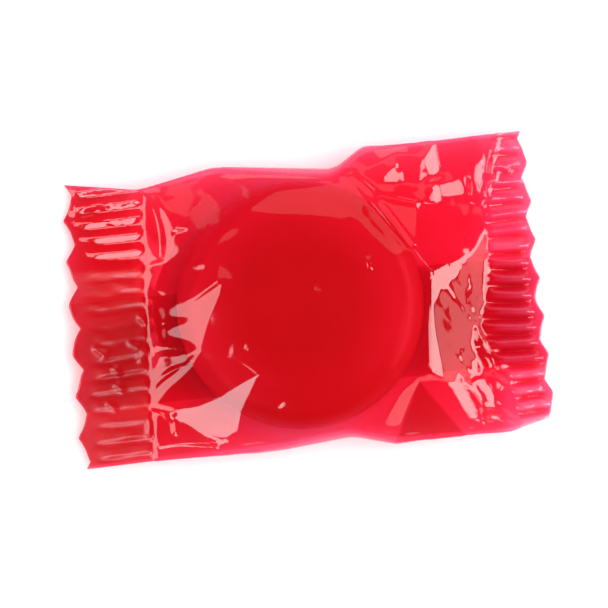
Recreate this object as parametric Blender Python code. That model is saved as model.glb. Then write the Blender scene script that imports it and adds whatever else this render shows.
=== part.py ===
"""A wrapped hard candy, lying flat: a round lens-shaped sweet sealed in a film pillow pack.

The pack is one closed body.  Its long side runs along X and its width along Y, and it stands
on a small flat spot under the sweet at z = 0, with the middle of the pack at the origin.  Two
sheets, an upper and a lower one, run across the whole pack.  Between the end seals they are
stretched over the sweet.  In the seals they lie together, ribbed by the crimping jaws, and end
in a zigzag cut.
"""

import math

import bmesh
import bpy
import numpy as np

MM = 0.001

# The sweet: a lens-shaped disc with a rounded rim, 25 mm (one inch) across.  Its underside is
# pressed flat by a little where it would bulge below the ground.
CANDY_RADIUS = 12.5 * MM
CANDY_THICKNESS = 8.4 * MM
RIM_RADIUS = 2.3 * MM
FLATTENED = 0.15 * MM
FILM_GAP = 0.05 * MM
AIR_ABOVE = 0.3 * MM

# The pack's outline.  Each side edge is a row of (x, y) corners in millimetres, joined by
# straight runs: the sides pull in round the sweet and flare out again at the seals.
BACK_EDGE = ((-24.7, 15.0), (-15.3, 13.3), (-8.0, 14.4), (4.5, 12.8), (7.8, 14.9), (24.7, 15.2))
FRONT_EDGE = ((-24.7, -14.4), (-3.5, -14.0), (3.5, -13.4), (8.3, -14.8), (19.3, -15.2), (24.7, -14.0))

# The creases where the seals meet the pillow, as (y, x) corners, the mean lines of the cut ends,
# which the zigzag swings about, and the heights of the seals' middle at both, as (y, z) corners.
LEFT_CREASE = ((-14.4, -16.9), (0.0, -16.0), (14.0, -15.3))
RIGHT_CREASE = ((-14.4, 20.8), (-9.5, 20.2), (-4.5, 17.6), (0.0, 19.3), (4.5, 19.2), (15.0, 20.9))
LEFT_CUT = ((-14.4, -24.3), (15.0, -23.2))
RIGHT_CUT = ((-14.4, 24.2), (15.0, 24.2))
LEFT_CREASE_HEIGHT = ((-14.4, 2.4), (-8.0, 3.0), (0.0, 3.3), (6.0, 3.4), (14.0, 3.6))
RIGHT_CREASE_HEIGHT = ((-14.4, 2.2), (-9.0, 1.9), (2.0, 1.9), (5.5, 2.4), (15.0, 2.8))
LEFT_CUT_HEIGHT = ((-14.4, 1.0), (-6.0, 1.9), (0.0, 2.1), (6.0, 1.4), (15.0, 0.9))
RIGHT_CUT_HEIGHT = ((-14.4, 1.2), (4.0, 1.3), (15.0, 2.0))
SEAL_LINES = 5
TOOTH_PITCH = 4.2 * MM
TOOTH_DEPTH = 1.0 * MM
SEAL_MARGIN = 1.2 * MM
RIB_FADE = 0.25
RIB_COUNT = 17
RIB_HEIGHT = 0.32 * MM
ROWS_PER_RIB = 4

# Heights of the side folds, where the two sheets meet, as (x, z) corners in millimetres, and
# half the distance between the sheets there: the sweet's rim holds them apart.
BACK_FOLD_HEIGHT = ((-15.3, 3.7), (0.0, 4.0), (5.0, 3.9), (12.0, 2.8), (20.9, 2.8))
FRONT_FOLD_HEIGHT = ((-16.9, 2.4), (-9.0, 3.3), (0.0, 4.0), (5.0, 3.9), (12.0, 2.8), (20.8, 2.2))
FOLD_HALF = ((-15.0, 0.25), (-7.0, 0.8), (0.0, 1.6), (4.5, 1.6), (10.0, 0.4), (15.0, 0.25))
SEAL_HALF = 0.22 * MM

# The fold beside the sweet, which runs right across the pack as (y, x) corners.  Its crest is
# drawn up towards the sweet's top, as (y, z) corners, and a steep panel falls from it to the
# right seal.
SHOULDER_LINE = ((-14.8, 9.4), (-9.4, 11.9), (-4.0, 12.5), (-1.5, 12.5), (1.6, 13.0), (4.5, 11.6),
                 (8.8, 8.3), (12.8, 5.5))
SHOULDER_HEIGHT = ((-14.8, 2.0), (-11.0, 4.2), (-8.5, 7.0), (-4.0, 7.6), (1.6, 7.3), (4.5, 7.0),
                   (8.8, 5.0), (12.8, 2.0))
PANEL_SLOPE = 1.2
APRON_SLOPE = 0.5

COLUMNS_OVER_SWEET = 21
COLUMNS_BESIDE_SWEET = 12
GRID_ROUNDS = 6
SETTLE_STEPS = 1500
ROUND_REACH = 0.8 * MM


def line_through(corners, at):
    """Straight runs between the corners, rounded by averaging over a short reach each way."""
    along, across = np.array(corners).T * MM
    shifts = np.linspace(-ROUND_REACH, ROUND_REACH, 7)
    return np.mean([np.interp(at + shift, along, across) for shift in shifts], axis=0)


def zigzag(y):
    """A triangle wave of the tooth pitch, from -1/2 to 1/2, with a tooth tip at each y = 0."""
    phase = y / TOOTH_PITCH
    return 0.5 - 2 * np.abs(phase - np.round(phase))


def end_columns(cut, crease, outward, y):
    """The lines of one seal, from the cut edge in to the crease.

    The cut swings half a tooth each way.  The ribs run between the margin and the crease and
    die out over a quarter of the band at each end.
    """
    edge = line_through(cut, y)
    inner = line_through(crease, y)
    outer_rib = edge - outward * SEAL_MARGIN
    band = inner - outer_rib
    teeth = edge + outward * TOOTH_DEPTH * zigzag(y)
    return [teeth, outer_rib, outer_rib + RIB_FADE * band, inner - RIB_FADE * band, inner]


def pack_grid():
    """The x and y of every grid point, with columns along the pack and rows across it.

    Rows split the width evenly, and one column follows the shoulder fold.  A column's x depends
    on y through the creases and cuts, and a row's y depends on x through the side edges, so the
    two are worked out in turn.
    """
    rows = RIB_COUNT * ROWS_PER_RIB + 1
    share = np.linspace(0, 1, rows)[None, :]
    before = np.linspace(0, 1, COLUMNS_OVER_SWEET + 1)[1:, None]
    after = np.linspace(0, 1, COLUMNS_BESIDE_SWEET + 1)[1:-1, None]
    fold_column = SEAL_LINES + len(before)
    y = np.repeat((share - 0.5) * 2 * CANDY_RADIUS, fold_column + len(after) + SEAL_LINES, axis=0)
    for _ in range(GRID_ROUNDS):
        left_y, right_y = y[:SEAL_LINES], y[::-1][:SEAL_LINES]
        over_y, beside_y = y[SEAL_LINES:fold_column], y[fold_column:-SEAL_LINES]
        left = [line[k] for k, line in enumerate(end_columns(LEFT_CUT, LEFT_CREASE, -1, left_y))]
        right = [line[k] for k, line in enumerate(end_columns(RIGHT_CUT, RIGHT_CREASE, 1, right_y))]
        start, fold = line_through(LEFT_CREASE, over_y), line_through(SHOULDER_LINE, over_y)
        over = start + (fold - start) * before
        fold, end = line_through(SHOULDER_LINE, beside_y), line_through(RIGHT_CREASE, beside_y)
        beside = fold + (end - fold) * after
        x = np.vstack([left, over, beside, right[::-1]])
        front = line_through(FRONT_EDGE, x)
        back = line_through(BACK_EDGE, x)
        y = front + (back - front) * share
    return x, y


def candy_half_height(x, y):
    """Half the sweet's thickness at (x, y): a cubic dome on a quarter-circle rim.

    Outside the sweet the value is far below zero.
    """
    radius = np.hypot(x, y)
    dome = (CANDY_THICKNESS / 2 - RIM_RADIUS) * (1 - (radius / CANDY_RADIUS) ** 3)
    turn = np.clip(radius - (CANDY_RADIUS - RIM_RADIUS), 0, RIM_RADIUS)
    rim = np.sqrt(RIM_RADIUS ** 2 - turn ** 2)
    return np.where(radius < CANDY_RADIUS, dome + rim, -CANDY_THICKNESS)


def settle(start, held, floor, ceiling, x, y):
    """Stretch a sheet: each free point goes to the mean height of its four neighbours.

    A neighbour counts by the inverse of its distance.  Held points keep their height, and the
    sweet and the ground push the sheet out between floor and ceiling.
    """
    height = start.copy()
    along = 1 / np.hypot(np.diff(x, axis=0), np.diff(y, axis=0))
    across = 1 / np.hypot(np.diff(x, axis=1), np.diff(y, axis=1))
    left, right = along[:-1, 1:-1], along[1:, 1:-1]
    below, above = across[1:-1, :-1], across[1:-1, 1:]
    total = left + right + below + above
    for _ in range(SETTLE_STEPS):
        mean = left * height[:-2, 1:-1] + right * height[2:, 1:-1]
        mean += below * height[1:-1, :-2] + above * height[1:-1, 2:]
        middle = np.clip(mean / total, floor[1:-1, 1:-1], ceiling[1:-1, 1:-1])
        height[1:-1, 1:-1] = np.where(held[1:-1, 1:-1], start[1:-1, 1:-1], middle)
    return height


def seal_heights(x, y, cut, crease, cut_height, crease_height):
    """A seal's middle surface: it rises evenly from the cut to the crease."""
    edge, inner = line_through(cut, y), line_through(crease, y)
    low, high = line_through(cut_height, y), line_through(crease_height, y)
    return low + (high - low) * np.clip((x - edge) / (inner - edge), 0, 1)


def shoulder_fold(x, y):
    """The fold beside the sweet: a tent roof whose crest follows the shoulder line."""
    beyond = x - line_through(SHOULDER_LINE, y)
    crest = line_through(SHOULDER_HEIGHT, y)
    return crest - np.maximum(beyond * PANEL_SLOPE, -beyond * APRON_SLOPE)


def sheet_heights(x, y):
    """The upper and lower sheet's heights over the grid."""
    share = np.linspace(0, 1, x.shape[1])
    fold = line_through(FRONT_FOLD_HEIGHT, x) * (1 - share) + line_through(BACK_FOLD_HEIGHT, x) * share
    left, right = np.s_[:SEAL_LINES], np.s_[-SEAL_LINES:]
    fold[left] = seal_heights(x[left], y[left], LEFT_CUT, LEFT_CREASE, LEFT_CUT_HEIGHT,
                              LEFT_CREASE_HEIGHT)
    fold[right] = seal_heights(x[right], y[right], RIGHT_CUT, RIGHT_CREASE, RIGHT_CUT_HEIGHT,
                               RIGHT_CREASE_HEIGHT)
    half = line_through(FOLD_HALF, x)
    half[left] = half[right] = SEAL_HALF
    held = np.zeros(x.shape, dtype=bool)
    held[left] = held[right] = held[:, [0, -1]] = True
    middle = CANDY_THICKNESS / 2 + FILM_GAP - FLATTENED
    candy = candy_half_height(x, y) + FILM_GAP
    open_air = np.full(x.shape, 2 * CANDY_THICKNESS)
    ground = np.zeros(x.shape)
    underside = np.where(candy > 0, np.maximum(middle - candy, ground), open_air)
    roof = np.maximum(middle + candy + AIR_ABOVE, shoulder_fold(x, y))
    upper = settle(fold + half, held, roof, open_air, x, y)
    lower = settle(fold - half, held, ground, underside, x, y)
    rib = np.zeros(x.shape)
    rib[[2, 3, -4, -3]] = RIB_HEIGHT * np.sin(np.arange(x.shape[1]) * 2 * math.pi / ROWS_PER_RIB)
    return upper + rib, lower + rib


def film_material():
    """Clear red packing film over a red sweet."""
    material = bpy.data.materials.new("red_film")
    material.use_nodes = True
    shader = material.node_tree.nodes["Principled BSDF"]
    shader.inputs["Base Color"].default_value = (0.64, 0.006, 0.012, 1)
    shader.inputs["Roughness"].default_value = 0.12
    shader.inputs["Metallic"].default_value = 0
    return material


def build_pack(collection):
    """Turn a flat grid into a slab, then lay its upper face and lower face on the two sheets."""
    x, y = pack_grid()
    upper, lower = sheet_heights(x, y)
    columns, rows = x.shape
    slab = bmesh.new()
    bmesh.ops.create_grid(slab, x_segments=columns - 1, y_segments=rows - 1, size=1)
    base = list(slab.verts)
    extruded = bmesh.ops.extrude_face_region(slab, geom=slab.faces[:], use_keep_orig=True)
    raised = [item for item in extruded["geom"] if isinstance(item, bmesh.types.BMVert)]
    place = {tuple(vert.co): index for index, vert in enumerate(base)}
    for sheet, verts in ((lower, base), (upper, raised)):
        for vert in verts:
            row, column = divmod(place[tuple(vert.co)], columns)
            vert.co = (x[column, row], y[column, row], sheet[column, row])
    bmesh.ops.recalc_face_normals(slab, faces=slab.faces[:])
    flat_faces = [face for face in slab.faces if max(vert.co.z for vert in face.verts) < 0.001 * MM]
    bmesh.ops.dissolve_faces(slab, faces=flat_faces, use_verts=True)
    mesh = bpy.data.meshes.new("wrapped_candy")
    slab.to_mesh(mesh)
    slab.free()
    mesh.materials.append(film_material())
    mesh.shade_smooth()
    pack = bpy.data.objects.new("wrapped_candy", mesh)
    collection.objects.link(pack)
    return pack


def main():
    for old in list(bpy.data.objects):
        bpy.data.objects.remove(old)
    collection = bpy.data.collections.new("hard_candy")
    bpy.context.scene.collection.children.link(collection)
    build_pack(collection)


main()
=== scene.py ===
"""A round red hard candy in a clear red film pillow pack, lying flat on a pale floor.

The film is one closed tube: an upper and a lower sheet of height over the table, pressed together
and ribbed in the end seals and stretched over the sweet between them.  A folded-over fin seam
lies under it.  Shape functions work in millimetres, and meshes are made in metres.
"""

import math

import bpy
import numpy as np
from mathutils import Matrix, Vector


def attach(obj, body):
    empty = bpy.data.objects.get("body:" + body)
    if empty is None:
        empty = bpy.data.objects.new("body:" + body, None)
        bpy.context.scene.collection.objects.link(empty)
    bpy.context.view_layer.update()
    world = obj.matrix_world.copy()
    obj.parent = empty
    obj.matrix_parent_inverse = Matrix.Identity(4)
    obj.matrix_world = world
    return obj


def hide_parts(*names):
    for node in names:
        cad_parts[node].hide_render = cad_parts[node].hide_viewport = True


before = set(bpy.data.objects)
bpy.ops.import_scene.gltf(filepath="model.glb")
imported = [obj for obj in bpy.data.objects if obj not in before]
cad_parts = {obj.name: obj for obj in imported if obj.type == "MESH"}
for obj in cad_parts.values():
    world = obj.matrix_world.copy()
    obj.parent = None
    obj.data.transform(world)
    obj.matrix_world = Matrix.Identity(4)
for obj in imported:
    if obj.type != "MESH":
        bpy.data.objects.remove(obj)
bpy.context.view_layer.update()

MM = 0.001

# Lattice that the sheets' heights are worked out on.
PITCH = 0.1
X_REACH = 26.0
Y_REACH = 16.8

# The sweet: a lens with a rounded rim, flattened a little where it rests.
CANDY_CENTRE = (-0.4, -0.1)
CANDY_RADIUS = 12.6
CANDY_THICKNESS = 8.0
RIM_RADIUS = 2.3
FILM_GAP = 0.05
TABLE_GAP = 0.15
FLATTENED = 0.2
MIDDLE = CANDY_THICKNESS / 2 + FILM_GAP + TABLE_GAP - FLATTENED

# The pack's outline as corners joined by straight runs: (x, y) for the side edges, (y, x) for the
# creases where the seals begin and for the mean lines of the cut ends.  A cut's zigzag has a tooth
# pitch, a depth and a start in y, and dies out over a short reach in from the cut.
BACK_EDGE = ((-24.7, 15.0), (-15.3, 13.3), (-8.0, 14.4), (4.5, 12.8), (7.8, 14.9), (24.7, 15.2))
FRONT_EDGE = ((-24.7, -14.4), (-3.5, -14.0), (3.5, -13.4), (8.3, -14.8), (19.3, -15.2), (24.7, -14.0))
LEFT_CREASE = ((-14.4, -16.9), (0.0, -16.0), (14.0, -15.3))
RIGHT_CREASE = ((-14.4, 20.8), (-9.5, 20.2), (-4.5, 17.6), (0.0, 19.3), (4.5, 19.2), (15.0, 20.9))
LEFT_CUT = ((-14.4, -24.1), (15.0, -23.0))
RIGHT_CUT = ((-14.4, 24.1), (15.0, 23.9))
LEFT_TOOTH = (4.45, 1.1, -2.3)
RIGHT_TOOTH = (4.05, 0.8, 0.1)
TOOTH_REACH = 1.5

# Heights of the seals at crease and cut, as (y, z), and of the side fold, as (x, z), with half
# the distance between the sheets there.
LEFT_CREASE_Z = ((-14.4, 2.4), (-8.0, 3.0), (0.0, 3.3), (6.0, 3.4), (14.0, 3.6))
LEFT_CUT_Z = ((-14.4, 1.0), (-6.0, 1.9), (0.0, 2.1), (6.0, 1.4), (15.0, 0.9))
RIGHT_CREASE_Z = ((-14.4, 2.2), (-9.0, 1.9), (2.0, 1.9), (5.5, 2.4), (15.0, 2.8))
RIGHT_CUT_Z = ((-14.4, 1.2), (-4.0, 1.3), (4.0, 1.2), (15.0, 2.0))
FOLD_Z = ((-24.7, 1.3), (-16.5, 2.8), (-9.0, 3.4), (0.0, 3.8), (5.0, 3.9), (9.0, 2.8), (19.5, 2.8),
          (24.7, 1.6))
FOLD_HALF = ((-24.7, 0.1), (-15.0, 0.15), (-7.0, 0.5), (0.0, 1.2), (4.5, 1.4), (9.0, 0.3), (15.0, 0.15),
             (24.7, 0.1))

# Half the distance between the sheets in the seals, and the most that a side fold bulges out.
SEAL_HALF = 0.06
FOLD_BULGE = 0.6

# The folded lengthwise seam under the pack: its side edges' y, its thickness and how far its ends
# stop short of the cuts.
FIN_EDGES = (-8.6, 2.4)
FIN_THICKNESS = 0.07
FIN_SHORT = 0.2

# The crimped ribs: their pitch, full height and distance from the left cut, the rough widths of
# the two seal bands, and the shares of the full height in front and at the back of the left one.
RIB_PITCH = 1.66
RIB_HEIGHT = 0.27
RIB_MARGIN = 0.9
LEFT_BAND = 7.6
RIGHT_BAND = 4.6
LOW_RIBS = 0.22
HIGH_RIBS = 0.9

# Facets that the film is drawn into, each with corners on the table plane, the lean of the facet
# in degrees and the direction that it falls towards.  Several facets share these leans.
LEFT_FALL = (30, 181)
RIGHT_FALL = (37, -8)
LEFT_STEEP = (39, 182)
GROOVE_BACK = (41, 204)
GROOVE_FRONT = (41, 158)
FACETS = (
    # A patch with two fingers on the left slope, steep film round them and level film beside it.
    (((-14.3, 0.3), (-12.3, 1.2), (-10.7, 1.6), (-7.7, 3.2), (-8.3, 2.0), (-9.4, 0.2), (-10.3, -1.2),
      (-10.9, -2.6), (-11.3, -3.8), (-11.6, -2.4), (-14.3, -1.7), (-14.3, -1.1), (-12.2, -0.7),
      (-11.5, -0.3), (-12.2, 0.0), (-14.3, 0.15)), LEFT_FALL),
    (((-14.4, 0.2), (-12.2, 0.05), (-11.5, -0.3), (-14.4, -0.45)), GROOVE_BACK),
    (((-14.4, -0.45), (-11.5, -0.3), (-12.2, -0.7), (-14.4, -1.15)), GROOVE_FRONT),
    (((-14.6, -1.75), (-13.0, -2.1), (-11.9, -2.5), (-11.3, -3.3), (-12.4, -3.2), (-15.2, -2.8)),
     GROOVE_BACK),
    (((-15.2, -2.8), (-12.4, -3.2), (-11.4, -3.45), (-12.2, -3.95), (-14.6, -4.1), (-15.3, -3.7)),
     GROOVE_FRONT),
    (((-15.4, 0.5), (-12.4, 1.4), (-10.8, 1.8), (-8.2, 3.4), (-12.0, 6.5), (-15.2, 5.5)), (38, 157)),
    (((-15.9, 3.0), (-14.5, 3.0), (-14.5, -2.8), (-15.9, -3.0)), LEFT_STEEP),
    (((-7.4, 3.4), (-8.1, 1.9), (-9.2, 0.1), (-10.1, -1.3), (-10.7, -2.8), (-11.0, -3.9), (-8.4, -4.4),
      (-6.4, 0.5)), (13, 207)),
    # Two bands that run together at the seal, the dark groove between them and the wedge under them.
    (((-10.8, -3.3), (-11.6, -5.0), (-13.4, -6.25), (-15.8, -7.5), (-16.8, -8.6), (-16.2, -7.1),
      (-13.6, -5.5), (-12.4, -4.7), (-11.7, -3.6)), (30, 184)),
    (((-16.6, -7.7), (-15.9, -5.2), (-15.2, -3.7), (-14.2, -4.0), (-12.0, -3.8), (-12.7, -4.5),
      (-14.3, -4.85), (-15.1, -5.4), (-16.1, -7.0)), (33, 184)),
    (((-15.5, -6.1), (-15.1, -5.4), (-14.2, -4.85), (-12.7, -4.65), (-13.4, -5.05)), GROOVE_BACK),
    (((-15.5, -6.1), (-13.4, -5.05), (-12.9, -5.1), (-13.7, -5.5), (-16.0, -6.9)), GROOVE_FRONT),
    (((-16.6, -8.8), (-13.6, -6.4), (-12.0, -5.3), (-11.0, -4.0), (-8.9, -8.4), (-12.0, -9.3)), (28, 206)),
    (((-11.0, -4.0), (-8.4, -4.4), (-5.8, -6.2), (-5.4, -6.5), (-7.0, -7.3), (-8.9, -8.4)), (20, 205)),
    # The fin-shaped patch at the front left with its thin tip and spur, and the slopes round it.
    (((-16.4, -8.9), (-15.0, -9.2), (-12.5, -9.5), (-10.5, -9.2), (-8.8, -8.5), (-7.2, -10.0),
      (-7.6, -10.2), (-8.3, -12.0), (-9.2, -12.6), (-10.2, -12.7), (-11.3, -11.9), (-12.4, -10.9),
      (-14.0, -10.1), (-15.5, -9.6)), (28, 225)),
    (((-8.8, -8.5), (-7.0, -7.4), (-5.6, -6.6), (-6.7, -8.7), (-7.4, -10.0)), (22, 225)),
    (((-5.4, -6.6), (-6.5, -8.8), (-7.4, -10.3), (-8.1, -12.2), (-7.0, -12.5), (-5.6, -11.5), (-4.2, -10.5),
      (-3.3, -9.5), (-3.0, -8.6), (-3.4, -7.6), (-4.4, -6.9)), (24, 250)),
    (((-15.1, -9.8), (-14.3, -10.0), (-14.0, -11.6), (-14.6, -11.6)), (28, 227)),
    (((-16.3, -9.9), (-14.2, -10.4), (-12.5, -11.1), (-11.3, -12.2), (-10.2, -13.0), (-8.5, -14.6),
      (-16.8, -14.6)), (12, 212)),
    # The back left corner, with thin folds.
    (((-15.7, 6.2), (-14.0, 5.9), (-13.7, 9.0), (-14.4, 13.0), (-15.5, 13.0)), (42, 176)),
    (((-12.7, 8.6), (-10.6, 8.7), (-9.8, 5.0), (-13.2, 5.6), (-12.8, 7.4)), (39, 145)),
    (((-15.6, 6.4), (-15.3, 6.5), (-15.8, 0.6), (-16.1, 0.6)), (28, 182)),
    (((-14.1, 12.9), (-13.6, 12.9), (-13.0, 10.6), (-12.5, 8.7), (-12.8, 7.4), (-13.3, 5.8), (-13.7, 5.8),
      (-13.4, 7.3), (-13.3, 8.6), (-13.6, 10.6)), LEFT_FALL),
    # The apron, the strip and the steep panel on the right.
    (((8.5, 3.0), (11.5, 4.5), (12.9, 1.6), (12.3, -1.5), (12.3, -4.0), (12.1, -8.3), (8.5, -6.0)),
     (10, 0)),
    (((12.1, -8.3), (12.4, -4.0), (12.7, -1.2), (13.2, 1.7), (16.5, 2.2), (15.2, 0.9), (13.9, 0.0),
      (12.9, -1.5), (12.9, -4.0), (13.4, -9.0)), RIGHT_FALL),
    (((12.9, -1.4), (13.9, 0.0), (15.5, 1.0), (17.2, 2.6), (18.7, 3.9), (18.8, -2.0), (17.0, -4.5),
      (16.5, -6.0), (17.8, -8.5), (15.5, -9.5), (13.5, -9.0), (12.9, -4.0)), (47, -10)),
    (((16.9, -4.0), (18.9, -2.1), (19.1, -4.1)), RIGHT_FALL),
    (((17.3, -6.2), (18.0, -6.0), (18.7, -8.6), (18.2, -8.6)), RIGHT_FALL),
    (((18.5, 4.5), (18.9, 4.6), (19.7, 3.5), (19.4, 3.2)), RIGHT_FALL),
    (((19.1, 2.6), (19.5, 2.6), (19.2, -1.8), (18.8, -1.8)), RIGHT_FALL),
    # The flare at the back right: three broad facets, a level one and four small bright ones.
    (((8.5, 10.0), (12.5, 9.0), (11.5, 4.2)), (22, 65)),
    (((12.5, 9.0), (17.0, 8.5), (17.3, 2.9), (13.4, 2.1), (11.7, 4.4)), (32, 36)),
    (((17.0, 8.5), (19.3, 8.0), (19.1, 4.8), (17.3, 2.9)), (27, 32)),
    (((7.6, 12.6), (8.6, 11.5), (11.2, 11.3), (13.4, 11.1), (13.4, 13.6), (11.0, 14.4)), (8, -5)),
    (((8.7, 11.5), (11.0, 13.3), (12.2, 12.2), (12.9, 11.2), (11.0, 11.2)), (43, -6)),
    (((12.7, 12.3), (15.0, 14.9), (15.5, 11.9), (12.4, 10.9), (13.3, 11.8)), RIGHT_FALL),
    (((14.0, 10.9), (17.4, 10.8), (18.0, 9.4), (14.4, 9.2)), (42, -9)),
    (((18.2, 9.5), (19.0, 12.3), (20.2, 13.2), (19.8, 10.5), (19.2, 9.5)), RIGHT_FALL),
    # The back slope over the sweet's rim.
    (((-12.2, 8.9), (-8.5, 12.1), (-6.0, 9.3)), (22, 105)),
    (((-13.2, 12.6), (-8.9, 12.4), (-6.0, 10.0), (-4.8, 12.6), (-8.0, 14.0)), (30, 128)),
    (((-4.5, 10.0), (-1.5, 11.7), (5.5, 11.7), (7.0, 9.0), (4.0, 8.8)), (24, 80)),
    # The front right corner: a pale band and a dark triangle.
    (((7.0, -12.5), (9.0, -9.8), (10.8, -8.8), (8.5, -13.5)), (48, -50)),
    (((10.9, -9.0), (13.7, -13.0), (9.0, -14.0)), (24, -62)),
    # Crumpled strips in that corner.
    (((14.2, -9.2), (15.8, -9.8), (15.9, -11.2), (16.9, -14.0), (15.6, -13.4), (14.4, -10.9)), RIGHT_FALL),
    (((16.4, -8.5), (17.2, -8.9), (18.5, -11.6), (19.6, -12.9), (18.0, -12.2), (16.9, -10.4)), RIGHT_FALL),
    (((17.0, -13.8), (18.4, -13.2), (20.2, -14.8), (18.6, -14.6)), RIGHT_FALL),
)

# The rounds in which the film is drawn into its facets, and the most slope that may be added to
# what is asked of it.
FACET_ROUNDS = 7
MOST_LACKING = 1.0

# Thin creases: the points that each runs through, its height and its width.
CREASES = (
    (((-16.3, -12.8), (-14.0, -12.7), (-9.2, -13.2)), 0.09, 0.24),
    (((-16.5, -8.8), (-15.6, -9.2), (-14.4, -9.6)), 0.12, 0.24),
    (((-14.9, -9.9), (-14.4, -10.6), (-14.4, -11.6)), 0.12, 0.24),
    (((-12.05, 1.3), (-11.9, 1.1)), 0.05, 0.16),
    (((-21.6, -2.3), (-20.9, -2.9)), 0.22, 0.3),
    (((-17.2, -3.8), (-16.7, -3.2)), 0.24, 0.3),
    (((-18.1, -2.1), (-17.4, -2.5)), 0.14, 0.25),
    (((-20.0, -4.4), (-19.6, -5.0)), 0.18, 0.25),
    (((-19.9, -6.2), (-19.4, -6.8)), 0.18, 0.25),
    (((-20.9, -8.1), (-20.4, -8.6)), 0.18, 0.25),
    (((-16.7, 0.4), (-16.4, -0.2)), 0.2, 0.25),
    (((-17.0, -10.4), (-17.1, -11.6)), 0.2, 0.28),
    (((-8.0, 13.6), (-3.0, 13.2), (4.0, 12.2)), 0.08, 0.2),
    (((-10.0, -13.4), (-3.0, -13.3), (3.5, -12.7), (8.0, -14.0), (14.0, -14.3)), 0.08, 0.2),
    (((-6.0, -12.9), (0.0, -12.6), (4.0, -12.2)), 0.06, 0.25),
    (((5.5, 12.5), (8.0, 9.0), (11.0, 4.5), (13.0, 1.8)), 0.2, 0.35),
    (((6.0, 12.5), (9.3, 8.8), (11.6, 5.0)), 0.15, 0.3),
    (((6.4, 12.6), (8.6, 10.2), (12.4, 9.0)), 0.2, 0.3),
    (((21.5, 15.0), (20.5, 12.0), (19.8, 9.4)), 0.25, 0.3),
    (((20.7, 10.5), (21.3, 12.0), (22.4, 11.1)), 0.2, 0.3),
    (((15.4, -9.4), (16.4, -11.2), (17.6, -13.6)), 0.25, 0.4),
    (((18.4, -9.5), (20.0, -11.0), (21.6, -11.4)), 0.3, 0.45),
    (((17.5, -13.2), (20.0, -14.6)), 0.3, 0.5),
    (((17.4, -4.5), (18.0, -6.5), (19.3, -8.5)), 0.25, 0.35),
    (((6.9, 3.8), (7.05, 2.9)), 0.2, 0.22),
    (((1.5, 1.6), (1.5, 1.3)), 0.16, 0.2),
    (((-6.1, -3.6), (-6.1, -3.8)), 0.1, 0.2),
)

# How many lattice cells a facet's edge is softened over, the rounds of the stretched-sheet solver
# on the coarsest and the finer lattices, and the points of the film's grid.
EDGE_SOFT = 1.2
FIRST_SETTLING = 600
SETTLING = 200
SHEET_COLUMNS = 280
SHEET_ROWS = 168
SIDE_ROWS = 3


def line_through(corners, at, reach=0.8):
    """Straight runs between the corners, rounded by averaging over a short reach each way."""
    along, across = np.array(corners).T
    shifts = np.linspace(-reach, reach, 7)
    return np.mean([np.interp(at + shift, along, across) for shift in shifts], axis=0)


def smooth_step(low, high, value):
    """3t² - 2t³ of the share of the way from low to high."""
    share = np.clip((value - low) / (high - low), 0, 1)
    return share * share * (3 - 2 * share)


def candy_half_height(x, y):
    """Half the sweet's thickness: a cubic dome on a quarter-circle rim, far below zero outside it."""
    radius = np.hypot(x - CANDY_CENTRE[0], y - CANDY_CENTRE[1])
    dome = (CANDY_THICKNESS / 2 - RIM_RADIUS) * (1 - (radius / CANDY_RADIUS) ** 3)
    turn = np.clip(radius - (CANDY_RADIUS - RIM_RADIUS), 0, RIM_RADIUS)
    return np.where(radius < CANDY_RADIUS, dome + np.sqrt(RIM_RADIUS ** 2 - turn ** 2), -CANDY_THICKNESS)


def lattice():
    """x and y of every lattice point."""
    along = np.arange(-X_REACH, X_REACH + PITCH / 2, PITCH)
    across = np.arange(-Y_REACH, Y_REACH + PITCH / 2, PITCH)
    return np.meshgrid(along, across, indexing="ij")


def soften(field, cells):
    """Gaussian average, exp(-d²/2c²), along both ways of the lattice."""
    reach = int(np.ceil(3 * cells))
    weight = np.exp(-0.5 * (np.arange(-reach, reach + 1) / cells) ** 2)
    weight /= weight.sum()
    padded = np.pad(field, reach, mode="edge")
    rows = sum(w * padded[k:k + field.shape[0], :] for k, w in enumerate(weight))
    return sum(w * rows[:, k:k + field.shape[1]] for k, w in enumerate(weight))


def inside(corners, x, y):
    """True inside a polygon, by the even-odd rule taken one side at a time."""
    hit = np.zeros(x.shape, dtype=bool)
    for (x0, y0), (x1, y1) in zip(corners, corners[1:] + corners[:1]):
        if y0 != y1:
            hit ^= ((y0 > y) != (y1 > y)) & (x < (x1 - x0) * (y - y0) / (y1 - y0) + x0)
    return hit


def settle(start, held, low, high, source, rounds):
    """Each free point goes to the mean of its four neighbours less the source, between low and high."""
    z = start.copy()
    middle = np.s_[1:-1, 1:-1]
    for _ in range(rounds):
        mean = 0.25 * (z[:-2, 1:-1] + z[2:, 1:-1] + z[1:-1, :-2] + z[1:-1, 2:]) - source[middle]
        z[middle] = np.where(held[middle], start[middle], np.clip(mean, low[middle], high[middle]))
    return z


def refine(z):
    """Halve the lattice step: new points lie midway between the old ones."""
    rows = np.empty((2 * z.shape[0] - 1, z.shape[1]))
    rows[::2] = z
    rows[1::2] = 0.5 * (z[:-1] + z[1:])
    finer = np.empty((rows.shape[0], 2 * z.shape[1] - 1))
    finer[:, ::2] = rows
    finer[:, 1::2] = 0.5 * (rows[:, :-1] + rows[:, 1:])
    return finer


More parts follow.
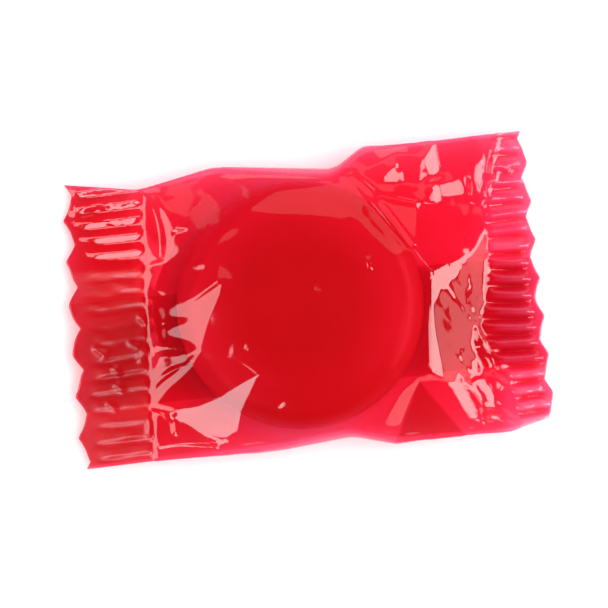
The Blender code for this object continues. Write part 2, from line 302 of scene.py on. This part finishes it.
def stretch(start, held, low, high, bend):
    """Stretched sheet whose Laplacian is bend, solved on ever finer lattices."""
    guess = None
    for step in (8, 4, 2, 1):
        part = np.s_[::step, ::step]
        source = (soften(bend, 0.45 * step) if step > 1 else bend)[part] * (PITCH * step) ** 2 / 4
        fixed = start[part]
        z = fixed if guess is None else np.where(held[part], fixed, guess)
        rounds = FIRST_SETTLING if guess is None else SETTLING
        z = settle(z, held[part], low[part], high[part], source, rounds)
        guess = refine(z) if step > 1 else z
    return guess


def band_share(x, y):
    """Share of the way from the cut in to the crease, for the left and the right seal."""
    left_cut, left_crease = line_through(LEFT_CUT, y), line_through(LEFT_CREASE, y)
    right_cut, right_crease = line_through(RIGHT_CUT, y), line_through(RIGHT_CREASE, y)
    return (x - left_cut) / (left_crease - left_cut), (right_cut - x) / (right_cut - right_crease)


def seal_height(x, y):
    """Middle surface of the seals: a power of the share of the way in, levelling out at the cut."""
    left, right = band_share(x, y)
    left = np.clip(left, 0, 1) ** (1 + 0.2 * smooth_step(5, 8, y))
    right = np.clip(right, 0, 1) ** 1.2
    left_z = line_through(LEFT_CUT_Z, y, 2) * (1 - left) + line_through(LEFT_CREASE_Z, y, 2) * left
    right_z = line_through(RIGHT_CUT_Z, y, 2) * (1 - right) + line_through(RIGHT_CREASE_Z, y, 2) * right
    return np.where(x < 0, left_z, right_z)


def noise(x, y, size, seed):
    """Smooth random field of about -1 to 1: random lattice values, blended by 3t² - 2t³."""
    values = np.random.default_rng(seed).uniform(-1, 1, (96, 96))
    u, v = x / size + 40.37, y / size + 40.71
    column, row = np.floor(u).astype(int), np.floor(v).astype(int)
    s, t = smooth_step(0, 1, u - column), smooth_step(0, 1, v - row)
    column, row = column % 95, row % 95
    low = values[column, row] * (1 - s) + values[column + 1, row] * s
    high = values[column, row + 1] * (1 - s) + values[column + 1, row + 1] * s
    return low * (1 - t) + high * t


def streaks(x, y, size, seed):
    """Crumples drawn out threefold along the way that runs forwards to the right."""
    along, across = 0.5 * x - 0.87 * y, 0.87 * x + 0.5 * y
    return crumple(across, along / 3, size, seed)


def crumple(x, y, size, seed):
    """Sharp-ridged crumples: minus |noise| at two sizes, so that ridges run where the noise is zero."""
    bent_x = x + 0.4 * size * noise(x, y, size, seed + 5)
    bent_y = y + 0.4 * size * noise(x, y, size, seed + 6)
    coarse = np.abs(noise(bent_x, bent_y, size, seed))
    fine = np.abs(noise(bent_y, bent_x, size / 2, seed + 1))
    return -coarse - 0.5 * fine


def ribs(x, y):
    """Crimped ribs: a sine of y, with its phase and height wandering, inside both seal bands.

    In the left seal they are high and lean over at the back, where a triangle wave takes the
    sine's place, and low and broken in front.  In the right seal they are highest in the middle.
    """
    left, right = band_share(x, y)
    ragged = 0.9 * noise(x, y, 1.9, 13)
    in_left = smooth_step(RIB_MARGIN, RIB_MARGIN + 2.0, left * LEFT_BAND + ragged)
    in_left = in_left * smooth_step(1.02, 0.92, left)
    upper = smooth_step(5.5, 7.0, y)
    in_left = in_left * (LOW_RIBS * (1 + 0.8 * noise(x, y, 1.7, 15)) * (1 - upper) + HIGH_RIBS * upper)
    in_right = smooth_step(0.3, 1.3, right * RIGHT_BAND + 0.5 * ragged) * smooth_step(1.1, 0.85, right)
    in_right = in_right * (1.25 - 0.75 * smooth_step(3, 5, y) - 0.3 * smooth_step(-9, -11, y))
    turns = (y + 0.25 * noise(x, y, 5, 11)) / RIB_PITCH
    height = RIB_HEIGHT * (1 + 0.35 * noise(x, y, 2.5, 12))
    even = np.sin(2 * math.pi * turns) + 0.25 * np.sin(4 * math.pi * turns + 1)
    part = turns - np.floor(turns)
    leaning = 1.7 * np.minimum(part / 0.5, (1 - part) / 0.5) - 0.85
    share = smooth_step(5.5, 6.8, y) * (x < 0)
    return height * (even + (leaning - even) * share) * np.where(x < 0, in_left, in_right)


def facet(sheet, held, floor, high, x, y):
    """Draw a sheet into the facets.

    Inside each facet the slope that is asked for is that of a plane with its lean, which adds the
    divergence of the change of slope to the sheet's bend.  The sheet gives less than is asked, so
    what is lacking at each point is added to what is asked there, over a few rounds.
    """
    slopes = np.gradient(sheet, PITCH)
    goals = [slope.copy() for slope in slopes]
    bound = np.zeros(sheet.shape, dtype=bool)
    for corners, (lean, towards) in FACETS:
        patch = inside(corners, x, y) & ~held
        bound |= patch
        steep = math.tan(math.radians(lean))
        goals[0][patch] = -steep * math.cos(math.radians(towards))
        goals[1][patch] = -steep * math.sin(math.radians(towards))
    none = np.zeros(sheet.shape)
    lacking = [none, none]
    for _ in range(FACET_ROUNDS):
        extra = [soften(np.where(bound, goal + lack - slope, 0), EDGE_SOFT)
                 for goal, lack, slope in zip(goals, lacking, slopes)]
        bend = np.gradient(extra[0], PITCH, axis=0) + np.gradient(extra[1], PITCH, axis=1)
        drawn = sheet + stretch(none, held, floor - sheet, high, bend)
        got = np.gradient(drawn, PITCH)
        lacking = [np.clip(lack + goal - now, -MOST_LACKING, MOST_LACKING)
                   for lack, goal, now in zip(lacking, goals, got)]
    return drawn


def creases(x, y):
    """Thin ridges, height times exp(-(d/width)²), d being the distance from the crease's line."""
    total = np.zeros(x.shape)
    for points, height, width in CREASES:
        nearest = np.full(x.shape, np.inf)
        for (x0, y0), (x1, y1) in zip(points, points[1:]):
            length = (x1 - x0) ** 2 + (y1 - y0) ** 2
            share = np.clip(((x - x0) * (x1 - x0) + (y - y0) * (y1 - y0)) / length, 0, 1)
            away = (x - x0 - share * (x1 - x0)) ** 2 + (y - y0 - share * (y1 - y0)) ** 2
            nearest = np.minimum(nearest, away)
        total += height * np.exp(-nearest / width ** 2)
    return total


def wrinkles(x, y):
    """Crumples times a share of the way into each region that has them.

    They are strongest in the front right corner, and streaky on the panel beside the sweet.
    """
    corner = smooth_step(13, 15, x) * smooth_step(-7.5, -10, y)
    panel = smooth_step(13, 14, x) * smooth_step(19.3, 18, x)
    panel = panel * smooth_step(-10, -8, y) * smooth_step(4, 2, y)
    flare = smooth_step(9, 12, x) * smooth_step(7, 9, y)
    back_left = smooth_step(-15.5, -16.5, x) * smooth_step(9, 10.5, y)
    panel_edge = panel * smooth_step(15.5, 17, x)
    panel = panel * (0.07 + 0.05 * smooth_step(-2, -4, y))
    return (crumple(x, y, 2.6, 41) * (0.26 * corner + 0.1 * flare) + panel * streaks(x, y, 0.8, 54)
            + crumple(x, y, 2.2, 45) * 0.16 * back_left + 0.05 * panel_edge * noise(x, y, 0.5, 61))


def sheets():
    """Lattice heights of the upper and the lower sheet."""
    x, y = lattice()
    left, right = band_share(x, y)
    in_seal = ((left < 1) & (x < 0)) | ((right < 1) & (x > 0))
    outside = (y > line_through(BACK_EDGE, x)) | (y < line_through(FRONT_EDGE, x))
    held = in_seal | outside
    seal, fold, half = seal_height(x, y), line_through(FOLD_Z, x), line_through(FOLD_HALF, x)
    candy = candy_half_height(x, y) + FILM_GAP
    high = np.full(x.shape, 20.0)
    none = np.zeros(x.shape)

    top = np.where(in_seal, seal + SEAL_HALF, fold + half)
    floor = np.where(candy > 0, MIDDLE + candy, TABLE_GAP)
    upper = facet(stretch(top, held, floor, high, none), held, floor, high, x, y)
    upper = upper + creases(x, y) + wrinkles(x, y)

    bottom = np.where(in_seal, seal - SEAL_HALF, fold - half)
    ceiling = np.where(candy > 0, np.maximum(MIDDLE - candy, TABLE_GAP), high)
    lower = stretch(np.minimum(bottom, ceiling), held, none + TABLE_GAP, ceiling, none)
    lower = np.minimum(lower, upper - 2 * SEAL_HALF)
    rib = ribs(x, y)
    return upper + rib, lower + rib


def sample(field, x, y):
    """Bilinear reading of a lattice field at any x and y."""
    u, v = (x + X_REACH) / PITCH, (y + Y_REACH) / PITCH
    column = np.clip(u.astype(int), 0, field.shape[0] - 2)
    row = np.clip(v.astype(int), 0, field.shape[1] - 2)
    s, t = u - column, v - row
    near = field[column, row] * (1 - s) + field[column + 1, row] * s
    far = field[column, row + 1] * (1 - s) + field[column + 1, row + 1] * s
    return near * (1 - t) + far * t


def tooth(y, shape):
    """Zigzag of the cut: a triangle wave of the tooth pitch, rounded a little at its tips."""
    pitch, depth, start = shape
    phase = (y - start) / pitch + 0.06 * np.sin(y * 1.7)
    return depth * (0.5 - 2 * np.sqrt((phase - np.round(phase)) ** 2 + 0.002))


def toothed(x, y, left, right):
    """x moved by the zigzag of the nearer cut, times 1 at the cut falling to 0 at the teeth's reach."""
    x = x - tooth(y, LEFT_TOOTH) * np.clip(1 - (x - left) / TOOTH_REACH, 0, 1)
    return x + tooth(y, RIGHT_TOOTH) * np.clip(1 - (right - x) / TOOTH_REACH, 0, 1)


def film_grid():
    """x and y of the grid that both sheets are laid on, columns along the pack and rows across.

    A column's x depends on y through the cuts, and a row's y on x through the side edges, so the
    two are worked out in turn.
    """
    along = np.linspace(0, 1, SHEET_COLUMNS)[:, None]
    share = np.linspace(0, 1, SHEET_ROWS)[None, :]
    y = np.repeat((share - 0.5) * 2 * CANDY_RADIUS, SHEET_COLUMNS, axis=0)
    for _ in range(6):
        left, right = line_through(LEFT_CUT, y), line_through(RIGHT_CUT, y)
        x = toothed(left + (right - left) * along, y, left, right)
        front, back = line_through(FRONT_EDGE, x), line_through(BACK_EDGE, x)
        y = front + (back - front) * share
    return x, y


def set_field(piece, name, values):
    """Keep one number per point of a piece as an attribute that its material reads."""
    field = piece.data.attributes.new(name, "FLOAT", "POINT")
    field.data.foreach_set("value", values.astype(np.float32))


def mesh_piece(name, points, faces, material):
    """An object with its mesh in metres, smooth shaded, that stands in for the solid."""
    mesh = bpy.data.meshes.new(name)
    mesh.from_pydata(points * MM, [], faces)
    mesh.materials.append(material)
    mesh.shade_smooth()
    piece = bpy.data.objects.new(name, mesh)
    bpy.context.collection.objects.link(piece)
    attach(piece, "root")
    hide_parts("wrapped_candy")
    return piece


def ring_faces(columns, around):
    """Quads between neighbouring columns of a tube whose points run column by column."""
    column, place = np.meshgrid(np.arange(columns - 1), np.arange(around), indexing="ij")
    following = (place + 1) % around
    quads = np.stack([column * around + place, (column + 1) * around + place,
                      (column + 1) * around + following, column * around + following], -1)
    return quads.reshape(-1, 4)


def zip_faces(start, rows, sides, turned):
    """Quads that close an end: each upper row edge is joined to the lower row edge under it."""
    around = 2 * (rows + sides)
    upper = np.arange(rows)
    lower = rows + sides + (rows - 1 - upper)
    quads = np.stack([upper[:-1], upper[1:], lower[1:], lower[:-1]], -1) + start
    faces = quads.tolist()
    if sides:
        faces.append([start + k for k in range(rows - 1, rows + sides + 1)])
        faces.append([start + k % around for k in range(2 * rows + sides - 1, around + 1)])
    return [face[::-1] for face in faces] if turned else faces


def beyond(x, y, start, end):
    """Distance from the line through two points, positive on its left as one goes from start to end."""
    length = math.hypot(end[0] - start[0], end[1] - start[1])
    return ((end[0] - start[0]) * (y - start[1]) - (end[1] - start[1]) * (x - start[0])) / length


def film_depth_and_shade(x, y):
    """How deep the film's colour runs, 0 to 1, with painted light and shade in it: pale at the side
    edges, and deep at the left, which is painted shade.

    It is deeper in the troughs of the ribs than on their crests, and in the front left corner, both
    painted shade, deepest in a triangle at the front right, and paler in a ring round the sweet,
    painted light over the sweet's shadow on the floor beneath.
    """
    front, back = line_through(FRONT_EDGE, x), line_through(BACK_EDGE, x)
    edge = np.minimum(y - front, back - y)
    # Deeper towards the left, and deeper still in the left seal below: painted shade over the left side.
    left = smooth_step(-8, -13, x)
    away = np.hypot(x - CANDY_CENTRE[0], y - CANDY_CENTRE[1]) - CANDY_RADIUS
    right_seal = smooth_step(18.5, 20, x)
    # Paler film in a thin ring just outside the sweet: painted light over the sweet's shadow on the floor
    # under the film.
    painted_light_ring = smooth_step(-0.3, 0.2, away) * smooth_step(1.6, 0.7, away)
    # Deeper close to the sweet than further out, except at the left: painted shade of the sweet on the
    # floor under the film.
    depth = 0.71 - 0.15 * painted_light_ring - 0.11 * smooth_step(0, 7, away) * (1 - left) + 0.06 * left
    depth += 0.16 * smooth_step(-16, -17.5, x)
    # Deeper in the rib troughs than on the crests: painted shade in the troughs.
    trough = -ribs(x, y) / RIB_HEIGHT
    # In the right seal the film is paler, painted light on the lit right end, and a little deeper in a band
    # across its middle.
    depth += right_seal * (0.04 * smooth_step(1, -1, y) * smooth_step(-9, -7, y) - 0.16 + 0.3 * trough)
    depth += 0.09 * trough * (x < 0)
    # Deepest in a triangle at the front right.
    dark_triangle = smooth_step(0, 0.5, beyond(x, y, (10.8, -8.6), (8.3, -13.5)))
    depth += 0.4 * dark_triangle * smooth_step(0, 0.5, beyond(x, y, (14.2, -13.5), (10.8, -8.6)))
    # Deeper in the front left corner: painted shade under the front left highlight.
    depth += 0.1 * smooth_step(-8.5, -11, y) * smooth_step(-5, -9, x)
    depth += 0.06 * noise(x, y, 3, 31)
    pale = smooth_step(0.45, 0.0, edge)
    return np.clip(depth * (1 - 0.45 * pale), 0, 1)


def film_haze(x, y):
    """Roughness of the film's gloss: low, but dulled in the right seal and the front of the left one."""
    left, right = band_share(x, y)
    dulled = smooth_step(1.0, 0.9, left) * smooth_step(6.2, 5.2, y)
    return 0.06 + 0.2 * dulled + 0.1 * smooth_step(1.0, 0.9, right)


def make_film(upper, lower, material):
    """The wrapper: the upper sheet, the back fold, the lower sheet and the front fold, joined round."""
    x, y = film_grid()
    top, bottom = sample(upper, x, y), sample(lower, x, y)
    turn = (np.arange(SIDE_ROWS) + 1) / (SIDE_ROWS + 1) * math.pi
    folds = []
    for edge, outward in ((-1, 1), (0, -1)):
        middle = 0.5 * (top[:, edge] + bottom[:, edge])[:, None]
        half = 0.5 * (top[:, edge] - bottom[:, edge])[:, None]
        bulge = outward * np.minimum(half, FOLD_BULGE) * np.sin(turn)
        fold_x = x[:, edge, None] + 0 * turn
        fold_y = y[:, edge, None] + bulge
        folds.append((fold_x, fold_y, middle + half * np.cos(turn)))
    back, front = folds
    parts = [(x, y, top), back, (x[:, ::-1], y[:, ::-1], bottom[:, ::-1]),
             tuple(row[:, ::-1] for row in front)]
    points = [np.concatenate([part[k] for part in parts], axis=1) for k in range(3)]
    points = np.stack(points, -1)
    around = points.shape[1]
    faces = ring_faces(SHEET_COLUMNS, around).tolist()
    faces += zip_faces(0, SHEET_ROWS, SIDE_ROWS, False)
    faces += zip_faces((SHEET_COLUMNS - 1) * around, SHEET_ROWS, SIDE_ROWS, True)
    flat = points.reshape(-1, 3)
    film = mesh_piece("wrapper_film", flat, faces, material)
    # The film's depth attribute holds painted light and shade as well as the film's own tint.
    set_field(film, "film_depth_and_shade", film_depth_and_shade(flat[:, 0], flat[:, 1]))
    set_field(film, "film_haze", film_haze(flat[:, 0], flat[:, 1]))
    return film


def make_fin(lower, material):
    """The lengthwise seam: a flat folded strip of two layers that follows the lower sheet from below."""
    columns = 240
    rows = 48
    along = np.linspace(0, 1, columns)[:, None]
    across = np.linspace(0, 1, rows)[None, :]
    y = FIN_EDGES[0] + (FIN_EDGES[1] - FIN_EDGES[0]) * across + 0.15 * np.sin(9 * along + across)
    left = line_through(LEFT_CUT, y) + FIN_SHORT
    right = line_through(RIGHT_CUT, y) - FIN_SHORT
    x = toothed(left + (right - left) * along, y, left, right)
    top = sample(lower, x, y) - 0.03 + 0.015 * np.sin(2 * math.pi * x / 0.7)
    bottom = np.maximum(top - FIN_THICKNESS, 0.01)
    points = np.stack([np.concatenate([part, turned[:, ::-1]], axis=1)
                       for part, turned in ((x, x), (y, y), (top, bottom))], -1)
    around = 2 * rows
    faces = ring_faces(columns, around).tolist()
    faces += zip_faces(0, rows, 0, False) + zip_faces((columns - 1) * around, rows, 0, True)
    flat = points.reshape(-1, 3)
    fin = mesh_piece("fin_seam", flat, faces, material)
    set_field(fin, "film_depth_and_shade", np.full(len(flat), 0.02))
    set_field(fin, "film_haze", np.full(len(flat), 0.1))
    return fin


def make_candy(material):
    """The sweet: rings of points on the half-height profile, above and below its middle plane.

    The share of painted rim light, a glow of light through the thin rim, rises from 0 towards the
    rim, up to 1 at the back and left, less at the right and not at all at the front.
    """
    rings = 90
    spokes = 180
    share = np.sin(np.linspace(0, 1, rings) * math.pi / 2)[1:]
    angle = np.arange(spokes) * 2 * math.pi / spokes
    radius = (CANDY_RADIUS - 1e-6) * share[:, None]
    x = CANDY_CENTRE[0] + radius * np.cos(angle)
    y = CANDY_CENTRE[1] + radius * np.sin(angle)
    half = candy_half_height(x, y)
    uneven = 0.05 * noise(x, y, 4, 21) * smooth_step(CANDY_RADIUS, CANDY_RADIUS - 3, radius)
    top = np.stack([x, y, MIDDLE + half - np.abs(uneven)], -1)
    low = np.maximum(MIDDLE - half, TABLE_GAP + FILM_GAP)
    bottom = np.stack([x, y, low], -1)[-2::-1]
    around = np.concatenate([top, bottom])
    quads = ring_faces(around.shape[0], spokes)
    points = around.reshape(-1, 3)
    peak = top[0, :, 2].mean()
    poles = np.array([(*CANDY_CENTRE, peak), (*CANDY_CENTRE, TABLE_GAP + FILM_GAP)])
    count = len(points)
    first = np.arange(spokes)
    following = (first + 1) % spokes
    lowest = count - spokes
    top_fan = np.stack([np.full(spokes, count), first, following], -1)
    low_fan = np.stack([np.full(spokes, count + 1), lowest + following, lowest + first], -1)
    faces = quads.tolist() + top_fan.tolist() + low_fan.tolist()
    flat = np.vstack([points, poles])
    candy = mesh_piece("candy", flat, faces, material)
    from_middle = np.hypot(flat[:, 0] - CANDY_CENTRE[0], flat[:, 1] - CANDY_CENTRE[1])
    # Paler towards the rim, most at the back and less at the right where the key light falls: painted
    # light.
    paler = smooth_step(5, 12, from_middle) * smooth_step(-12, -3, flat[:, 1])
    paler = paler * (1 - 0.6 * smooth_step(9.5, 11, from_middle) * smooth_step(2, 8, flat[:, 0]))
    set_field(candy, "rim_light_share", paler)
    return candy


def film_material(name, shine_ahead):
    """Clear red film: a tinted see-through layer under a glossy skin that shines more at a slant."""
    material = bpy.data.materials.new(name)
    material.use_nodes = True
    tree = material.node_tree
    nodes, links = tree.nodes, tree.links
    nodes.clear()
    out = nodes.new("ShaderNodeOutputMaterial")
    # The tint follows the film's depth attribute, which holds painted light and shade as well as the film's
    # own colour.
    depth = nodes.new("ShaderNodeAttribute")
    depth.attribute_name = "film_depth_and_shade"
    tint = nodes.new("ShaderNodeValToRGB")
    stops = tint.color_ramp.elements
    stops[0].position, stops[0].color = 0.0, (1.0, 0.72, 0.80, 1)
    stops[1].position, stops[1].color = 1.0, (0.86, 0.19, 0.26, 1)
    for place, colour in ((0.35, (1.0, 0.39, 0.56, 1)), (0.55, (0.98, 0.28, 0.42, 1)),
                          (0.8, (0.965, 0.24, 0.35, 1))):
        stop = stops.new(place)
        stop.color = colour
    links.new(depth.outputs["Fac"], tint.inputs["Fac"])
    clear = nodes.new("ShaderNodeBsdfTransparent")
    links.new(tint.outputs["Color"], clear.inputs["Color"])
    gloss = nodes.new("ShaderNodeBsdfGlossy")
    haze = nodes.new("ShaderNodeAttribute")
    haze.attribute_name = "film_haze"
    links.new(haze.outputs["Fac"], gloss.inputs["Roughness"])
    facing = nodes.new("ShaderNodeLayerWeight")
    facing.inputs["Blend"].default_value = 0.5
    power = nodes.new("ShaderNodeMath")
    power.operation = "POWER"
    power.inputs[1].default_value = 4.0
    links.new(facing.outputs["Facing"], power.inputs[0])
    shine = nodes.new("ShaderNodeMapRange")
    shine.inputs["To Min"].default_value = shine_ahead
    shine.inputs["To Max"].default_value = 0.8
    links.new(power.outputs["Value"], shine.inputs["Value"])
    mix = nodes.new("ShaderNodeMixShader")
    links.new(shine.outputs["Result"], mix.inputs["Fac"])
    links.new(clear.outputs["BSDF"], mix.inputs[1])
    links.new(gloss.outputs["BSDF"], mix.inputs[2])
    links.new(mix.outputs["Shader"], out.inputs["Surface"])
    return material


def candy_material():
    """Deep red boiled sugar: glossy, with a little light passing through, and paler at its thin rim, a
    painted glow of light through the rim.
    """
    material = bpy.data.materials.new("red_candy")
    material.use_nodes = True
    nodes, links = material.node_tree.nodes, material.node_tree.links
    shader = nodes["Principled BSDF"]
    place = nodes.new("ShaderNodeTexCoord")
    cloud = nodes.new("ShaderNodeTexNoise")
    cloud.inputs["Scale"].default_value = 120
    colour = nodes.new("ShaderNodeValToRGB")
    colour.color_ramp.elements[0].color = (0.48, 0.026, 0.028, 1)
    colour.color_ramp.elements[1].color = (0.54, 0.034, 0.034, 1)
    links.new(place.outputs["Object"], cloud.inputs["Vector"])
    links.new(cloud.outputs["Fac"], colour.inputs["Fac"])
    # The paler rim colour is painted light: a glow of light through the thin rim.
    rim = nodes.new("ShaderNodeAttribute")
    rim.attribute_name = "rim_light_share"
    paler = nodes.new("ShaderNodeMix")
    paler.data_type = "RGBA"
    paler.inputs[7].default_value = (0.64, 0.046, 0.088, 1)
    links.new(rim.outputs["Fac"], paler.inputs[0])
    links.new(colour.outputs["Color"], paler.inputs[6])
    links.new(paler.outputs[2], shader.inputs["Base Color"])
    shader.inputs["Roughness"].default_value = 0.3
    shader.inputs["Specular IOR Level"].default_value = 0.3
    shader.inputs["Subsurface Weight"].default_value = 0.35
    shader.inputs["Subsurface Scale"].default_value = 0.004
    return material


def make_floor():
    """A plain pale floor."""
    material = bpy.data.materials.new("pale_floor")
    material.use_nodes = True
    nodes, links = material.node_tree.nodes, material.node_tree.links
    shader = nodes["Principled BSDF"]
    place = nodes.new("ShaderNodeTexCoord")
    grain = nodes.new("ShaderNodeTexNoise")
    grain.inputs["Scale"].default_value = 30
    colour = nodes.new("ShaderNodeValToRGB")
    colour.color_ramp.elements[0].color = (0.92, 0.92, 0.92, 1)
    colour.color_ramp.elements[1].color = (0.94, 0.94, 0.94, 1)
    links.new(place.outputs["Object"], grain.inputs["Vector"])
    links.new(grain.outputs["Fac"], colour.inputs["Fac"])
    links.new(colour.outputs["Color"], shader.inputs["Base Color"])
    shader.inputs["Roughness"].default_value = 0.7
    half = 2.0
    mesh = bpy.data.meshes.new("floor")
    corners = [(-half, -half, 0), (half, -half, 0), (half, half, 0), (-half, half, 0)]
    mesh.from_pydata(corners, [], [(0, 1, 2, 3)])
    mesh.materials.append(material)
    floor = bpy.data.objects.new("floor", mesh)
    bpy.context.collection.objects.link(floor)


def add_lamp(name, azimuth, zenith, size, radiance, colour=(1, 1, 1), fill=False):
    """A soft rectangular lamp a metre and a half off, seen from the pack at that azimuth and zenith.

    A fill lamp lights the surfaces, and the others show in the gloss alone.
    """
    light = bpy.data.lights.new(name, "AREA")
    light.shape = "RECTANGLE"
    distance = 1.5
    wide, tall = (2 * distance * math.tan(math.radians(angle) / 2) for angle in size)
    light.size, light.size_y = wide, tall
    light.energy = radiance * wide * tall * math.pi
    light.color = colour
    lamp = bpy.data.objects.new(name, light)
    turned = math.radians(azimuth)
    tipped = math.radians(zenith)
    outwards = math.sin(tipped)
    away = Vector((math.cos(turned) * outwards, math.sin(turned) * outwards, math.cos(tipped)))
    lamp.location = away * distance
    lamp.rotation_euler = away.to_track_quat("Z", "Y").to_euler()
    bpy.context.collection.objects.link(lamp)
    lamp.visible_camera = False
    lamp.visible_diffuse = fill
    lamp.visible_glossy = not fill
    return lamp


def make_lights():
    """Softboxes for the film's highlights, and a pale surround that the gloss sees as dark.

    Each lamp has its azimuth, zenith, width and height in degrees, its radiance and, for one, a
    cool tint.
    """
    add_lamp("softbox_left", 182, 53.5, (26, 40), 3.9)
    add_lamp("softbox_front_left", 227, 51, (13, 34), 6.2, (0.6, 1, 1.03))
    add_lamp("softbox_right", -7, 74, (60, 23), 7.5)
    add_lamp("softbox_front_right", -18, 47, (16, 26), 6)
    add_lamp("bounce_back", 76, 49, (64, 28), 0.62)
    add_lamp("key_right", 0, 32, (60, 40), 2.6, fill=True)
    world = bpy.data.worlds.new("pale_surround")
    bpy.context.scene.world = world
    world.use_nodes = True
    nodes, links = world.node_tree.nodes, world.node_tree.links
    background = nodes["Background"]
    background.inputs["Strength"].default_value = 1.1
    path = nodes.new("ShaderNodeLightPath")
    shade = nodes.new("ShaderNodeMix")
    shade.data_type = "RGBA"
    shade.inputs[6].default_value = (1, 1, 1, 1)
    shade.inputs[7].default_value = (0.03, 0.03, 0.03, 1)
    links.new(path.outputs["Is Glossy Ray"], shade.inputs[0])
    links.new(shade.outputs[2], background.inputs["Color"])


def make_camera():
    """Looks straight down, turned a little about the vertical.

    The frame's width is measured at the height of the sweet's middle, and the pack fills most of it.
    """
    distance = 0.6
    frame_width = 62 * MM
    aim_height = 4 * MM
    camera = bpy.data.cameras.new("camera")
    camera.sensor_width = 36
    camera.lens = camera.sensor_width * (distance - aim_height) / frame_width
    holder = bpy.data.objects.new("camera", camera)
    holder.location = (0, 0, distance)
    holder.rotation_euler = (0, 0, math.radians(-6.2))
    bpy.context.collection.objects.link(holder)
    bpy.context.scene.camera = holder


def main():
    """Make the wrapper, its seam, the sweet, the floor, the lamps and the camera."""
    upper, lower = sheets()
    make_film(upper, lower, film_material("clear_red_film", 0.06))
    make_fin(lower, film_material("clear_seam_film", 0.015))
    make_candy(candy_material())
    make_floor()
    make_lights()
    make_camera()
    bpy.context.scene.view_settings.view_transform = "Standard"


main()
